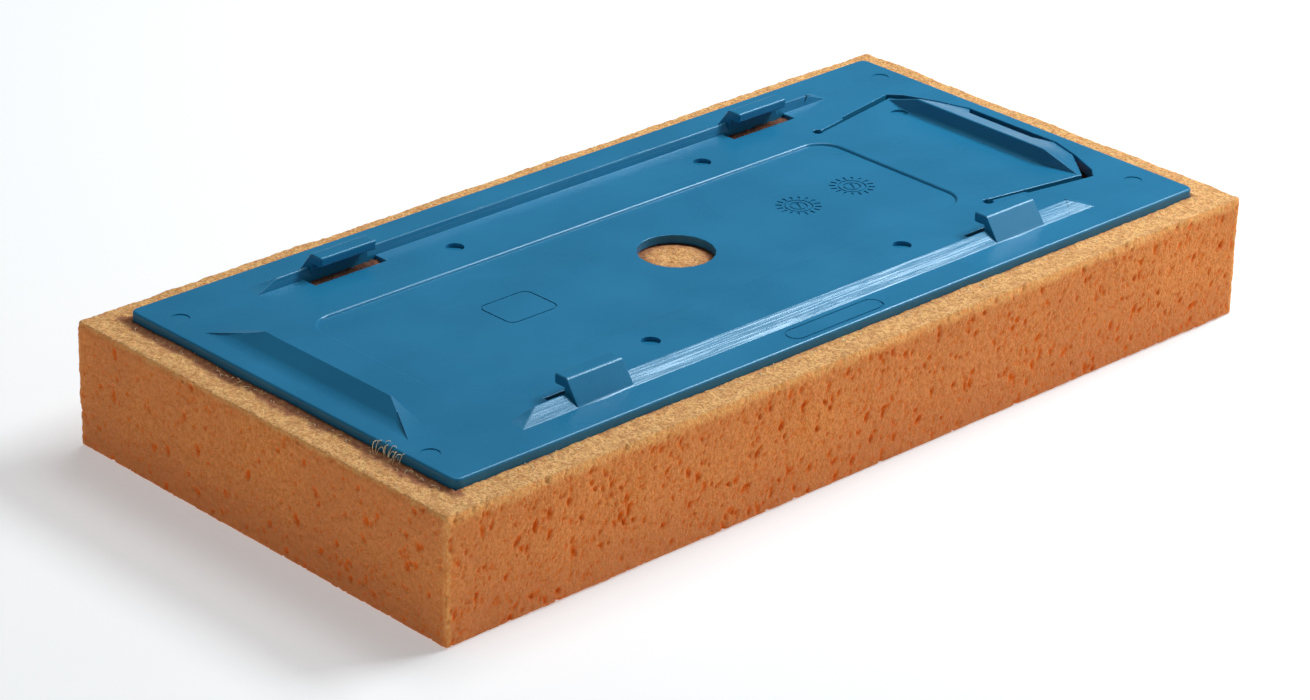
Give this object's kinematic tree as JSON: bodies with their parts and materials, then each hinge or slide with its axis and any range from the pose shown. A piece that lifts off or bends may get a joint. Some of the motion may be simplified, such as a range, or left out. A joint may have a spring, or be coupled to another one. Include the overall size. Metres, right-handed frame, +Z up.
{
  "type": "grout float sponge pad",
  "caption": "Rectangular foam sponge pad on a moulded quick-change backing plate with hooks, rails, an end stop and a springy latch tongue.",
  "frame": {"origin": "centre of the sponge's working face, which is the lowest face", "axes": "+X along the length towards the latch end, +Y across the width, +Z up out of the backing plate"},
  "size_m": [0.34, 0.1694, 0.0525],
  "materials": {
    "foam": "open-cell foam, matte, with irregular pores",
    "adhesive": "cured amber glue, slightly glossy",
    "plate": "semi-gloss moulded plastic"
  },
  "bodies": {
    "root": {"sponge_block": "foam", "adhesive_film": "adhesive", "backing_plate": "plate"},
    "latch": {"latch_tongue": "plate"}
  },
  "joints": [
    {"name": "latch_flex", "type": "hinge", "parent": "root", "child": "latch", "pos_m": [0.1, 0, 0.044], "axis": [0, 1, 0], "range_deg": [0, 8], "stiffness_Nm_per_rad": 2, "deforming": ["sponge_block"]}
  ]
}
